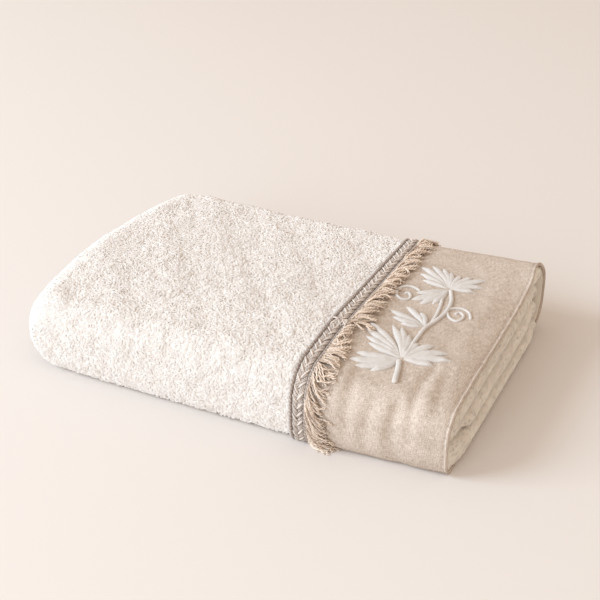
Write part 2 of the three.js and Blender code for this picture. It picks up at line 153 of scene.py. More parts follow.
# Where each fold at the right end steps back near the front: past which Y, by how much, and how gently
STEPS_BACK = (
    (-98, 6, 18),
    (-63, 5, 2),
    (-63, 5, 2),
    (-99, 4, 2),
    (-99, 4, 2),
    (-95, 2, 3),
    (-95, 2, 3),
)
STEP_STARTS = 150
BACK_STEP = Values(y_from=84, y_to=103, by=(0, 0, 0, 0, -2, -4, -5))
# The lowest fold swells towards the front and pushes up the ones above it
SWELL = Values(height=10, y_from=-58, y_to=-105, x_from=120, x_to=165, layers=3)
# How much of each layer's room its cloth fills
LAYER_FILL = 0.86
STUB_START = 150

TINY = 1e-9


def lerp(a, b, t):
    return a + (b - a) * t


def smoothstep(value, low, high):
    t = np.clip((value - low) / (high - low), 0, 1)
    return t * t * (3 - 2 * t)


def unit(vectors):
    return vectors / np.maximum(np.linalg.norm(vectors, axis=-1, keepdims=True), TINY)


def held_up(points, least):
    """Lifts points that would sink below a height."""
    points[..., 2] = np.maximum(points[..., 2], least)
    return points


def read_table(rows, places, at):
    """A smooth curve through a table's rows, read at each of some places."""
    places = np.asarray(places, float)
    last = len(places) - 1
    held = np.clip(at, places[0], places[-1])
    i = np.clip(np.searchsorted(places, held, side="right") - 1, 0, last - 1)

    def slope(a, b):
        return (np.choose(b, rows) - np.choose(a, rows)) / (places[b] - places[a])

    width = places[i + 1] - places[i]
    start = slope(np.maximum(i - 1, 0), i + 1) * width
    end = slope(i, np.minimum(i + 2, last)) * width
    rise = np.choose(i + 1, rows) - np.choose(i, rows)
    t = (held - places[i]) / width
    cubic = t * start + t**2 * (3 * rise - 2 * start - end) + t**3 * (start + end - 2 * rise)
    return np.choose(i, rows) + cubic


def along(column, x):
    return read_table(STATIONS[column], STATIONS["x"], x)


def crown(x, y):
    """Height of the top of the bundle over points in plan."""
    x, y = np.broadcast_arrays(x, y)
    return read_table([along(column, x) for column in CROWN_PLACES], list(CROWN_PLACES.values()), y)


def plan_x(x, y):
    """The left end bows outwards with rounded corners, and the right end is drawn in near its back."""
    reach = LEFT_PLAN.reach
    front = along("front", LEFT_END) + reach
    back = along("back", LEFT_END) - reach

    def rounding(past):
        return 1 - np.sqrt(1 - np.clip(past / reach, 0, 1) ** 2)

    drawn_in = LEFT_PLAN.bow * ((y - LEFT_PLAN.bow_centre) / back) ** 2
    drawn_in = drawn_in + LEFT_PLAN.front * rounding(front - y) + LEFT_PLAN.back * rounding(y - back)
    off = np.clip((y - RIGHT_PLAN.at) / RIGHT_PLAN.half_width, -1, 1)
    tucked = RIGHT_PLAN.by * (1 + np.cos(off * math.pi)) / 2
    tucked = tucked * smoothstep(x, RIGHT_PLAN.starts, HEM_EDGE)
    return x + drawn_in * (1 - smoothstep(x, LEFT_END, LEFT_PLAN.fades_at)) - tucked


def fold_share(x, inset):
    """How much of the full height is left at x, where the cloth turns round the lengthwise fold."""
    short = np.maximum(LEFT_END + FOLD_RADIUS - x, 0) / (FOLD_RADIUS - inset)
    return np.sqrt(np.maximum(1 - short**2, 0))


def corner(name, x):
    """How far a rounded corner of the section at x reaches across, and its share of the height."""
    return FRONT_CORNERS.get(name) or (along(f"{name}_across", x), along(f"{name}_share", x))


def section(x, stretch, t, inset):
    """A point of the section at x: its Y, its share of the height, and its outward direction."""
    front = along("front", x) + inset
    back = along("back", x) - inset
    corners = {name: corner(name, x) for name in CORNERS}
    across = {name: reach - inset / 2 for name, (reach, share) in corners.items()}
    share = {name: share for name, (reach, share) in corners.items()}
    s, c = math.sin(t * math.pi / 2), math.cos(t * math.pi / 2)
    if stretch == "under":
        return lerp(back - across["back_foot"], front + across["front_foot"], t), 0, 0, -1
    if stretch == "front_foot":
        return front + across[stretch] * (1 - s), share[stretch] * (1 - c), -s, -c
    if stretch == "front_wall":
        return front, lerp(share["front_foot"], 1 - share["front_shoulder"], t), -1, 0
    if stretch == "front_shoulder":
        return front + across[stretch] * (1 - c), 1 - share[stretch] * (1 - s), -c, s
    if stretch == "top":
        return lerp(front + across["front_shoulder"], back - across["back_shoulder"], t), 1, 0, 1
    if stretch == "back_shoulder":
        return back - across[stretch] * (1 - s), 1 - share[stretch] * (1 - c), s, c
    if stretch == "back_wall":
        return back, lerp(1 - share["back_shoulder"], share["back_foot"], t), 1, 0
    return back - across["back_foot"] * (1 - c), share["back_foot"] * (1 - s), c, -s


def ring_places(**steps):
    """Places round the bundle, from the back of the underside forwards, up and over."""
    return [(stretch, i / count) for stretch, count in steps.items() for i in range(count)]


RING = ring_places(
    under=50,
    front_foot=11,
    front_wall=7,
    front_shoulder=20,
    top=97,
    back_shoulder=12,
    back_wall=13,
    back_foot=8,
)


def ring_start(stretch):
    return RING.index((stretch, 0))


def relief_share(out_z):
    """Relief is fullest where the cloth faces up, less on the walls, and fades out round the foot."""
    return math.sqrt(max(out_z + 1, 0))


def skin_rings(xs, inset, floor=0.0, relief=None):
    """Rings of points round the bundle, at a depth below the pile's reach."""
    xs = np.asarray(xs, float)
    inset, floor = np.broadcast_to(inset, xs.shape), np.broadcast_to(floor, xs.shape)
    share = fold_share(xs, inset)
    low = lerp(FOLD_AXIS, floor, share)
    columns = []
    for stretch, t in RING:
        y, height, out_y, out_z = section(xs, stretch, t, inset)
        high = lerp(FOLD_AXIS, crown(xs, y) - inset, share)
        rise = 0
        if relief and stretch != "under":
            rise = relief(xs, y, height) * relief_share(out_z) * share
        z = np.maximum(lerp(low, high, height) + out_z * rise, np.minimum(low, floor))
        columns.append(np.stack([plan_x(xs, y), y + out_y * rise, z], axis=-1))
    return np.stack(columns, axis=1)


def lumps(x, y, height):
    """How far the pile's lumps stand out over the terry."""
    return sum(
        np.sin(x / pitch_x * math.tau + phase) * np.cos(y / pitch_y * math.tau + phase) * rise
        for rise, pitch_x, pitch_y, phase in LUMPS
    )


def speckle(points, size, seed=0.0):
    """Smooth noise from about -1 to 1 at each point, of a size in millimetres."""
    scaled = (np.asarray(points) / size + seed).reshape(-1, 3).tolist()
    return np.array([noise.noise(p) for p in scaled]).reshape(np.shape(points)[:-1])


def linen_relief(x, y, height):
    """How far the creases, ridges and small puckers stand out over the linen, at a share of the height."""
    x, y, height = np.broadcast_arrays(x, y, height)
    way = height * WALL_WAY + y - along("front", x)
    total = np.zeros(x.shape)
    for ways, places, depth, half_width in CREASES:
        off = (x - np.interp(way, ways, places)) / half_width
        first, last = ways[0], ways[-1]
        ends = smoothstep(way, first - CREASE_FADE, first) * (1 - smoothstep(way, last, last + CREASE_FADE))
        total = total - depth * ends * np.exp(-(off**2))
    for rise, size in PUCKERS:
        total = total + rise * speckle(np.stack([x, way, 0 * way], axis=-1), size, size)
    return total


def ground_relief(x, y, height):
    """The cloth under the linen follows it, and lies smooth under the braid."""
    return linen_relief(x, y, height) * smoothstep(x, BRAID_START, BRAID_END)


def grid_normals(points):
    """Outward directions over rings of points whose columns go round."""
    lengthwise = np.gradient(points, axis=0)
    around = np.roll(points, -1, axis=1) - np.roll(points, 1, axis=1)
    return unit(np.cross(lengthwise, around))


def skin_faces(rows, columns, closed_along=False):
    """Four-sided faces over rings: rows follow each other, and each row is a closed loop."""
    i = np.arange(rows if closed_along else rows - 1)[:, None]
    j = np.arange(columns)[None, :]
    near, far = i * columns, (i + 1) % rows * columns
    beside = (j + 1) % columns
    return np.stack([near + j, far + j, far + beside, near + beside], axis=-1).reshape(-1, 4)


def new_piece(name, points, faces, finishes, uv=None, tone=None, finish_of_face=None, normals=None):
    """A piece of the towel: a mesh from points in millimetres and lists of faces."""
    mesh = bpy.data.meshes.new(name)
    listed = [face for group in faces for face in np.asarray(group).tolist()]
    mesh.from_pydata((np.asarray(points).reshape(-1, 3) * MM).tolist(), [], listed)
    mesh.polygons.foreach_set("use_smooth", [True] * len(mesh.polygons))
    for finish in finishes:
        mesh.materials.append(finish)
    if finish_of_face is not None:
        mesh.polygons.foreach_set("material_index", np.asarray(finish_of_face, np.int32))
    if uv is not None:
        corners = np.zeros(len(mesh.loops), np.int32)
        mesh.loops.foreach_get("vertex_index", corners)
        layer = mesh.uv_layers.new(name="cloth")
        layer.data.foreach_set("uv", np.asarray(uv).reshape(-1, 2)[corners].ravel())
    if tone is not None:
        attribute = mesh.attributes.new("tone", "FLOAT", "POINT")
        attribute.data.foreach_set("value", np.asarray(tone, np.float32).ravel())
    mesh.update()
    if normals is not None:
        mesh.normals_split_custom_set_from_vertices(np.asarray(normals).reshape(-1, 3).tolist())
    piece = bpy.data.objects.new(name, mesh)
    bpy.context.scene.collection.objects.link(piece)
    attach(piece, BODY)
    return piece


def sweep(paths, radii, side, sides, flatten=1.0, first_turn=0.0):
    """Closed tubes along many paths of the same number of points, each with a side direction."""
    paths = np.asarray(paths, float)
    count, steps = paths.shape[:2]
    forward = unit(np.gradient(paths, axis=1))
    side = np.broadcast_to(side, paths.shape)
    first = unit(side - (side * forward).sum(-1, keepdims=True) * forward)
    second = np.cross(forward, first) * flatten
    turn = (np.arange(sides) / sides + first_turn) * math.tau
    radii = np.broadcast_to(radii, (count, steps))[..., None, None]
    around = np.cos(turn)[:, None] * first[:, :, None] + np.sin(turn)[:, None] * second[:, :, None]
    points = paths[:, :, None] + radii * around
    tube = np.arange(count)[:, None, None] * steps * sides
    near = tube + np.arange(steps - 1)[None, :, None] * sides
    far = near + sides
    i = np.arange(sides)[None, None, :]
    beside = (i + 1) % sides
    quads = np.stack([near + i, near + beside, far + beside, far + i], axis=-1)
    start = tube[:, 0] + np.arange(sides)[::-1]
    end = tube[:, 0] + (steps - 1) * sides + np.arange(sides)
    return points.reshape(-1, 3), [quads.reshape(-1, 4), start, end]


def yarn_piece(name, paths, radii, side, sides, tone, finish):
    """A piece of many tubes of yarn."""
    points, faces = sweep(paths, radii, side, sides)
    return new_piece(name, points, faces, [finish], tone=tone)


class Socket:
    """One output of a shader node. Arithmetic on it adds Math nodes."""

    def __init__(self, finish, output):
        self.finish = finish
        self.output = output

    def math(self, operation, other):
        return self.finish.node("ShaderNodeMath", {"operation": operation}, {0: self, 1: other})

    def __add__(self, other):
        return self.math("ADD", other)

    def __mul__(self, other):
        return self.math("MULTIPLY", other)

    __radd__ = __add__
    __rmul__ = __mul__


class Finish:
    """A material made of nodes round one Principled shader, with its constant sockets given by name."""

    def __init__(self, name, **constants):
        self.material = bpy.data.materials.new(name)
        self.material.use_nodes = True
        self.tree = self.material.node_tree
        self.shader = self.tree.nodes["Principled BSDF"]
        for socket, value in constants.items():
            self.shader.inputs[socket.replace("_", " ")].default_value = value

    def node(self, kind, settings=None, inputs=None, output=0):
        """Adds a node: first its settings, then the values and links that go into it."""
        node = self.tree.nodes.new(kind)
        for name, value in (settings or {}).items():
            setattr(node, name, value)
        for key, value in (inputs or {}).items():
            if isinstance(value, Socket):
                self.tree.links.new(value.output, node.inputs[key])
            else:
                node.inputs[key].default_value = value
        return Socket(self, node.outputs[output])

    def feed(self, **sockets):
        for name, socket in sockets.items():
            self.tree.links.new(socket.output, self.shader.inputs[name.replace("_", " ")])

    def object_place(self):
        return self.node("ShaderNodeTexCoord", output="Object")

    def cloth_place(self):
        return self.node("ShaderNodeUVMap", {"uv_map": "cloth"})

    def tone(self):
        return self.node("ShaderNodeAttribute", {"attribute_name": "tone"}, output="Fac")

    def stretched(self, vector, factors):
        return self.node("ShaderNodeVectorMath", {"operation": "MULTIPLY"}, {0: vector, 1: factors})

    def noise(self, vector, size_mm, detail=2.0, distortion=0.0):
        scale = 1 / (size_mm * MM)
        inputs = {"Vector": vector, "Scale": scale, "Detail": detail, "Distortion": distortion}
        return self.node("ShaderNodeTexNoise", inputs=inputs)

    def patches(self, vector, size_mm, detail=3.0, low=0.3, high=0.7):
        """Noise with its middle range spread over 0 to 1."""
        return self.ranged(self.noise(vector, size_mm, detail), low, high)

    def ranged(self, value, low, high):
        """A value taken smoothly from 0 at low to 1 at high."""
        inputs = {0: value, 1: low, 2: high}
        return self.node("ShaderNodeMapRange", {"interpolation_type": "SMOOTHSTEP"}, inputs)

    def mix(self, factor, first, second):
        """A colour between two."""
        inputs = {0: factor, 6: first, 7: second}
        return self.node("ShaderNodeMix", {"data_type": "RGBA"}, inputs, output=2)

    def bump(self, height, distance_mm):
        inputs = {"Height": height, "Distance": distance_mm * MM}
        self.feed(Normal=self.node("ShaderNodeBump", inputs=inputs))


def colour(red, green, blue):
    """A colour given as it looks on a screen, from 0 to 255, turned by the sRGB curve into a linear one."""
    channels = [c / 255 for c in (red, green, blue)]
    return tuple(c / 12.92 if c < 0.04045 else ((c + 0.055) / 1.055) ** 2.4 for c in channels) + (1,)


def terry_finish(name):
    """Looped cotton with fine fibres, with painted light and shade: its depths are pale to make up for their
    shade, and the tops of its loops darker where most light falls.
    """
    finish = Finish(
        name,
        Roughness=1.0,
        Diffuse_Roughness=1.0,
        Specular_IOR_Level=0.1,
        Sheen_Weight=0.04,
        Sheen_Roughness=0.6,
    )
    place = finish.object_place()
    patches = finish.patches(place, 9, detail=2.0)
    # Painted light in the depths of the pile and painted shade on the tops of its loops, mixed by the tone
    painted_light_in_depths = finish.mix(patches, colour(242, 236, 229), colour(245, 240, 234))
    painted_shade_on_tips = finish.mix(patches, colour(221, 214, 208), colour(226, 220, 215))
    finish.feed(Base_Color=finish.mix(finish.tone(), painted_light_in_depths, painted_shade_on_tips))
    finish.bump(finish.noise(place, 1.1, detail=3.0, distortion=0.6), 0.2)
    return finish.material


def reverse_finish(name):
    """The smooth woven side of the cloth, as it shows in the inner layers."""
    finish = Finish(name, Roughness=0.92, Specular_IOR_Level=0.2, Sheen_Weight=0.15, Sheen_Roughness=0.5)
    place = finish.object_place()
    patches = finish.patches(place, 14)
    finish.feed(Base_Color=finish.mix(patches, colour(219, 211, 198), colour(230, 223, 211)))
    weave = finish.noise(finish.stretched(place, (1, 0.35, 1)), 0.5)
    finish.bump(weave + finish.noise(place, 5), 0.25)
    return finish.material


def linen_finish(name):
    """Plain-woven linen: fine threads both ways, uneven in thickness and in colour."""
    finish = Finish(name, Roughness=0.95, Specular_IOR_Level=0.1)
    place = finish.cloth_place()
    warp = finish.noise(finish.stretched(place, (1, 0.1, 1)), 0.5)
    weft = finish.noise(finish.stretched(place, (0.1, 1, 1)), 0.45)
    flecks = finish.noise(place, 0.6, detail=3.0)
    clouds = finish.noise(place, 22, detail=3.0)
    # Mostly threads, with a fifth of flecks, and very faint clouds over both
    threads = 0.4 * (warp + weft) + 0.2 * flecks
    shade = finish.ranged(0.92 * threads + 0.08 * clouds, 0.4, 0.6)
    finish.feed(Base_Color=finish.mix(shade, colour(169, 153, 138), colour(209, 195, 182)))
    finish.bump(threads, 0.4)
    return finish.material


def yarn_finish(name, dark, light, size_mm=1.2):
    """Yarn that goes from a dark to a light colour, three parts by its tone and one by flecks."""
    finish = Finish(name, Roughness=0.85, Specular_IOR_Level=0.25, Sheen_Weight=0.15, Sheen_Roughness=0.5)
    place = finish.object_place()
    tone = 0.75 * finish.tone() + 0.25 * finish.patches(place, size_mm)
    finish.feed(Base_Color=finish.mix(tone, dark, light))
    finish.bump(finish.noise(place, 0.5), 0.2)
    return finish.material


TERRY = terry_finish("terry_cotton")
REVERSE = reverse_finish("cloth_reverse")
LINEN = linen_finish("slubby_linen")
BRAID = yarn_finish("braid_yarn", colour(128, 110, 99), colour(230, 218, 207))
FRINGE = yarn_finish("fringe_yarn", colour(142, 113, 91), colour(250, 231, 212))
# The white thread's darker colour is mostly painted shade, put in the grooves between its stitches by their
# tones
THREAD = yarn_finish("white_thread", colour(184, 176, 168), colour(214, 209, 204), 2.0)


# The terry sheet: its outer side with the pile, its bare ground, its reverse and the inner layers

FOLD_ANGLES = np.radians(np.linspace(0.6, 90, 31))
PILE_STEP = 2
PILE_STOPS = 0.4
PILE_LOWEST = 0.3
# Tufts of the pile, as two sizes of noise: size, height and seed
TUFTS = ((9, 0.65, 0), (3.6, 0.5, 5))
TUFT_FADE = 3
# Painted light and shade on the pile's cloth: its tone rises with the tufts, so their crests take the darker
# tip colour and the hollows the pale colour of the depths
TUFT_PAINTED_SHADING = 0.35
PLAIN_TONE = 0.5
# The rings that lead from the pile down to its ground at the braid
PILE_EDGE = Values(
    x=(BRAID_START - 0.2, BRAID_START),
    depth=(2.8, GROUND_DEPTH),
    floor=(FLOOR_PILE, FLOOR_GROUND),
)
# The ground goes on under the braid and the linen, a little deeper there, and stops short of the hem
GROUND_STARTS = BRAID_START + 6
GROUND_ENDS = HEM_EDGE - 1.2
GROUND_STEPS = 40
UNDER_LINEN = 0.9
REVERSE_STARTS = -150
REVERSE_STEPS = 60


def fold_stations(inset):
    return LEFT_END + FOLD_RADIUS - (FOLD_RADIUS - inset) * np.cos(FOLD_ANGLES)


def pile_rings():
    """The outer side of the terry up to the braid, with the tufts of its pile and how far each stands out."""
    folded = fold_stations(PILE_DEPTH)
    straight = np.arange(folded[-1] + PILE_STEP, BRAID_START - PILE_STEP / 2, PILE_STEP)
    xs = np.concatenate([folded, straight, [BRAID_START - PILE_STOPS]])
    points = skin_rings(xs, PILE_DEPTH, FLOOR_PILE, lumps)
    out = grid_normals(points)
    fade = smoothstep(BRAID_START - xs, 0, TUFT_FADE)[:, None]
    tufts = sum(rise * speckle(points, size, seed) for size, rise, seed in TUFTS)
    return held_up(points + out * (tufts * fade)[..., None], PILE_LOWEST), tufts


def layer_height(x, y, count):
    """Height inside the wrap, counted in layers up from the inside of its floor."""
    if count < 0:
        return FLOOR_CLOTH + count * (FLOOR_CLOTH - FLOOR_GROUND) + 0 * y
    whole = min(int(count), len(LAYERS) - 1)
    share = sum(layer.share for layer in LAYERS[:whole]) + (count - whole) * LAYERS[whole].share
    swell = SWELL.height * np.clip((y - SWELL.y_from) / (SWELL.y_to - SWELL.y_from), 0, 1)
    fading = (SWELL.layers - count) / (SWELL.layers - 1)
    swell = swell * smoothstep(x, SWELL.x_from, SWELL.x_to) * max(min(count, fading), 0)
    return lerp(FLOOR_CLOTH, crown(x, y) - TERRY_CLOTH, share) + swell


def step_back(x, y, layer):
    past, by, over = STEPS_BACK[max(layer, 0)]
    near_front = 1 - smoothstep(y, past - over, past + over)
    near_back = BACK_STEP.by[max(layer, 0)] * smoothstep(y, BACK_STEP.y_from, BACK_STEP.y_to)
    return (by * near_front + near_back) * smoothstep(x, STEP_STARTS, LAYERS[-1].right)


def layer_strip(run_steps=14, turn_steps=10, across_steps=60):
    """The inner layers as one strip folded back and forth, which starts in the floor of the wrap."""
    pitch = (float(crown(0, 0)) - TERRY_CLOTH - FLOOR_CLOTH) / len(LAYERS)
    half = LAYER_FILL / 2
    outer, inner = [], []

    def run(start, end, count, layer, rightwards):
        lift = -half if rightwards else half
        for x in np.linspace(start, end, run_steps + 1):
            outer.append((x, count + lift, layer, layer, 0))
            inner.append((x, count - lift, layer, layer, 0))

    def turn(x, count, layer, to_right):
        wide, narrow = (outer, inner) if to_right else (inner, outer)
        for share in np.arange(1, turn_steps) / turn_steps:
            bulge = math.sin(share * math.pi) * (1 if to_right else -1) * pitch
            drop = math.cos(share * math.pi)
            for side, reach in ((wide, 0.5 + half), (narrow, 0.5 - half)):
                side.append((x + bulge * reach, count - drop * reach, layer - 1, layer, share))

    run(STUB_START, LAYERS[0].right, -0.5, 0, True)
    for i, layer in enumerate(LAYERS):
        leftwards = i % 2 == 0
        turn(layer.right if leftwards else layer.left, i, i, leftwards)
        start = layer.right if leftwards else LAYERS[i - 1].left
        run(start, layer.left if leftwards else layer.right, i + 0.5, i, not leftwards)

    columns = []
    across = np.linspace(0, 1, across_steps + 1)
    for x, count, below, above, share in outer + inner[::-1]:
        low, high = LAYERS[max(below, 0)], LAYERS[max(above, 0)]
        front, back = lerp(low.front, high.front, share), lerp(low.back, high.back, share)
        y = lerp(front, back, across)
        place = (plan_x(x, y) - step_back(x, y, above), y, layer_height(x, y, count))
        columns.append(np.stack(place, axis=-1))
    return np.stack(columns, axis=1)


def ladder(first, columns):
    """Fills the section of a strip, whose ring runs out along one face and back along the other."""
    near = first + np.arange(columns // 2 - 1)
    facing = first + columns - 1 - np.arange(columns // 2 - 1)
    return np.stack([near, near + 1, facing - 1, facing], axis=-1)


def cap_between(ring, first, flip):
    """Fills a ring round the bundle by zipping its underside to its top, front to back."""
    front, back, count = ring_start("front_wall"), ring_start("back_wall"), len(ring)
    under = [i % count for i in range(front + count, back - 1, -1)]
    over = list(range(front, back + 1))
    faces = []
    low = high = 0
    while low < len(under) - 1 or high < len(over) - 1:
        over_left = high < len(over) - 1
        goes_over = low == len(under) - 1 or (over_left and ring[over[high + 1]][1] < ring[under[low + 1]][1])
        if goes_over:
            face = (over[high], over[high + 1], under[low])
            high += 1
        else:
            face = (under[low + 1], under[low], over[high])
            low += 1
        if len(set(face)) == 3:
            faces.append([first + i for i in (face[::-1] if flip else face)])
    return faces


def terry_wrap(pile):
    """The rings of the wrap: the pile, its ground under the braid and the linen, and the reverse."""
    edge = skin_rings(PILE_EDGE.x, PILE_EDGE.depth, PILE_EDGE.floor)
    ground_xs = np.linspace(GROUND_STARTS, GROUND_ENDS, GROUND_STEPS)
    ground = skin_rings(ground_xs, GROUND_DEPTH + UNDER_LINEN, FLOOR_GROUND, ground_relief)
    reverse_xs = np.linspace(REVERSE_STARTS, GROUND_ENDS, REVERSE_STEPS)
    reverse_xs = np.concatenate([fold_stations(TERRY_CLOTH)[::3], reverse_xs])[::-1]
    depths = TERRY_CLOTH + UNDER_LINEN * smoothstep(reverse_xs, BRAID_START, BRAID_END)
    return np.concatenate([pile, edge, ground, skin_rings(reverse_xs, depths, FLOOR_CLOTH, ground_relief)])


def terry_sheet(pile, tufts, layers):
    """The whole sheet of terry: the wrap and the inner layers, closed at their ends."""
    wrap = terry_wrap(pile)
    rows, columns = wrap.shape[:2]
    across, strip = layers.shape[:2]
    first = rows * columns
    faces = [
        skin_faces(rows, columns),
        skin_faces(across, strip) + first,
        ladder(first, strip),
        ladder(first + (across - 1) * strip, strip)[:, ::-1],
        cap_between(pile[0], 0, False),
        cap_between(wrap[-1], first - columns, True),
    ]
    outer, reverse = 0, 1
    covered = np.arange(rows - 1) < len(pile) + len(PILE_EDGE.x)
    sides = [np.repeat(np.where(covered, outer, reverse), columns)]
    for group, side in zip(faces[1:], (reverse, reverse, reverse, outer, reverse)):
        sides.append(np.full(len(group), side))
    plain = (rows - len(pile)) * columns + across * strip
    # The pile's tone paints shade on the crests of the tufts and light in their hollows; the plain parts take
    # a middle tone
    piece = new_piece(
        "terry_sheet",
        np.concatenate([wrap.reshape(-1, 3), layers.reshape(-1, 3)]),
        faces,
        [TERRY, REVERSE],
        tone=np.concatenate([(TUFT_PAINTED_SHADING + TUFT_PAINTED_SHADING * tufts).ravel(), np.full(plain, PLAIN_TONE)]),
        finish_of_face=np.concatenate(sides),
    )
    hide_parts("terry_body")
    return piece


# Loops of the pile, each a bent piece of yarn with both ends in the cloth, and the fuzz on the inner folds

LOOP_COUNT = 24000
LOOP_PIECES = 4
LOOP_SIDES = 3
LOOP_STEPS = np.array([0, 0.33, 0.67, 1])
LOOP_THICKNESS = np.array([0.8, 1.0, 1.0, 0.7])
# The share of a loop's reach that lies behind its root, and how far its yarn is flattened
LOOP_BEHIND = 0.4
LOOP_FLATTEN = 0.6
LOOP_ROUNDNESS = 0.8
LOOP_FIRST_TURN = 0.25
LOOP_LOWEST = 0.9
# Painted light and shade along each loop: its ends take the pale colour of the depths and its top the darker
# colour of the tips, with some tone at random
LOOP_PAINTED_SHADING = Values(ends=0.15, rise=0.85, vary=(0.75, 1.0))
LOOP_LOOKS = Values(reach=(3.0, 5.0), rise=(1.3, 2.1), yarn=(0.85, 1.2), curl=0.8, turn=0.8, sunk=1.0)
# Fine fibres blur the light on each loop, so its shading leans towards that of the cloth
LOOP_SOFTNESS = 0.6
# The underside, which has no loops, faces down by at least this much, below this height
UNDERSIDE = Values(facing=-0.5, below=3)
LOOPS_STOP = 1

FUZZ_COUNT = 1800
FUZZ_STARTS = 160
FUZZ_FACING = 0.1
FUZZ_LOOKS = Values(reach=(1.2, 3.0), rise=(0.4, 1.0), yarn=(0.25, 0.45), curl=0.7, turn=2.0, sunk=0.25)


def patches_of(grid):
    """The corners of each patch of a closed grid, with its middle, its outward direction and its area."""
    a, b = grid[:-1], grid[1:]
    next_a, next_b = np.roll(a, -1, axis=1), np.roll(b, -1, axis=1)
    crossed = np.cross(next_b - a, next_a - b)
    corners = [part.reshape(-1, 3) for part in (a, b, next_a, next_b)]
    area = np.linalg.norm(crossed, axis=-1).ravel() / 2
    return corners, sum(corners) / len(corners), unit(crossed).reshape(-1, 3), area


def scatter(corners, weight, count):
    """Places spread over the patches by weight, each with the direction down the cloth."""
    reached = np.cumsum(weight) / weight.sum()
    picked = np.searchsorted(reached, (np.arange(count) + draw.random(count)) / count)
    u, v = draw.random((2, count, 1))
    a, b, next_a, next_b = (part[picked] for part in corners)
    return lerp(lerp(a, b, u), lerp(next_a, next_b, u), v), unit(a - next_a), picked


def loop_tubes(root, down, up, looks):
    """The paths, thicknesses and tones of loops that start at the roots and lean down the cloth."""
    each = (len(root), 1)
    turn = draw.normal(0, looks.turn, each)
    lean = np.cos(turn) * down + np.sin(turn) * np.cross(up, down)
    side = np.cross(up, lean)
    reach, rise, yarn = (draw.uniform(*span, each) for span in (looks.reach, looks.rise, looks.yarn))
    curl = draw.uniform(-1, 1, each) * looks.curl
    steps = LOOP_STEPS[None]
    forward = reach * (steps - LOOP_BEHIND)
    height = rise * np.sin(steps * math.pi) ** LOOP_ROUNDNESS - looks.sunk
    sway = curl * np.sin(steps * math.tau)
    paths = root[:, None] + forward[..., None] * lean[:, None] + height[..., None] * up[:, None]
    paths = held_up(paths + sway[..., None] * side[:, None], LOOP_LOWEST)
    # Painted shade rising to the top of each loop, over painted light at its ends
    painted_shade_at_top = LOOP_PAINTED_SHADING.rise * np.sin(steps * math.pi) * draw.uniform(*LOOP_PAINTED_SHADING.vary, each)
    return paths, yarn * LOOP_THICKNESS, side, LOOP_PAINTED_SHADING.ends + painted_shade_at_top


def loop_piece(name, paths, radii, side, tone, up):
    points, faces = sweep(paths, radii, side[:, None], LOOP_SIDES, LOOP_FLATTEN, LOOP_FIRST_TURN)
    yarn_out = unit(points.reshape(len(paths), -1, LOOP_SIDES, 3) - paths[:, :, None])
    normals = unit(lerp(yarn_out, up[:, None, None], LOOP_SOFTNESS))
    shade = np.repeat(tone, LOOP_SIDES)
    return new_piece(name, points, faces, [TERRY], tone=shade, normals=normals)


def pile_loops(pile):
    """Loops scattered over the pile, leaning towards the front and down the front wall."""
    corners, middle, out, area = patches_of(pile)
    is_under = (out[:, 2] < UNDERSIDE.facing) & (middle[:, 2] < UNDERSIDE.below)
    is_bare = is_under | (middle[:, 0] > BRAID_START - LOOPS_STOP)
    root, down, picked = scatter(corners, np.where(is_bare, 0.0, area), LOOP_COUNT)
    tubes = (*loop_tubes(root, down, out[picked], LOOP_LOOKS), out[picked])
    parts = enumerate(np.array_split(np.argsort(root[:, 0]), LOOP_PIECES), start=1)
    return [loop_piece(f"terry_loops_{i}", *(each[part] for each in tubes)) for i, part in parts]


def fold_fuzz(layers):
    """Loose fibres on the folds of the inner layers, where they show at the right end."""
    corners, middle, out, area = patches_of(layers)
    shows = (middle[:, 0] > FUZZ_STARTS) & (out[:, 0] > FUZZ_FACING)
    root, down, picked = scatter(corners, np.where(shows, area, 0.0), FUZZ_COUNT)
    return loop_piece("fold_fuzz", *loop_tubes(root, down, out[picked], FUZZ_LOOKS), out[picked])


# The linen panel, which starts under the braid

LINEN_STARTS = BRAID_END - 1
LINEN_STEP = 1.8
HEM_ROUNDING = 0.9
HEM_GROOVE = 0.6
HEM_SLOPE = 0.1
HEM_TURN = 0.2
# The ring of the linen whose length gives the weave its scale round the bundle
MEASURED_RING = 10


def linen_sheet():
    """A band of plain cloth round the end of the bundle, with a rolled hem at its edge."""
    hem_start = HEM_EDGE - HEM_WIDTH
    xs = np.arange(LINEN_STARTS, hem_start, LINEN_STEP)
    middle = (hem_start + HEM_EDGE) / 2
    hem_xs = [hem_start, hem_start + HEM_ROUNDING, middle, HEM_EDGE - HEM_ROUNDING, HEM_EDGE]
    groove, crest = LINEN_TOP + HEM_GROOVE, LINEN_TOP - HEM_RISE
    hem_depths = [groove, LINEN_TOP - HEM_RISE / 2, crest, crest + HEM_SLOPE, LINEN_TOP]
    face = skin_rings(xs, LINEN_TOP, FLOOR_SKIN, linen_relief)
    hem = skin_rings(hem_xs, hem_depths, FLOOR_SKIN, linen_relief)
    back_xs = np.concatenate([xs[::2], [hem_start, HEM_EDGE - HEM_TURN]])[::-1]
    back = skin_rings(back_xs, LINEN_BACK, FLOOR_LINEN, linen_relief)
    rings = np.concatenate([face, hem, back])
    ring = rings[MEASURED_RING]
    around = np.cumsum(np.linalg.norm(np.diff(ring, axis=0, append=ring[:1]), axis=1))
    uv = np.stack(np.broadcast_arrays(rings[..., 0], around[None, :]), axis=-1) * MM
    faces = [skin_faces(len(rings), len(RING), closed_along=True)]
    piece = new_piece("linen_sheet", rings, faces, [LINEN], uv=uv)
    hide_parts("linen_panel")
    return piece


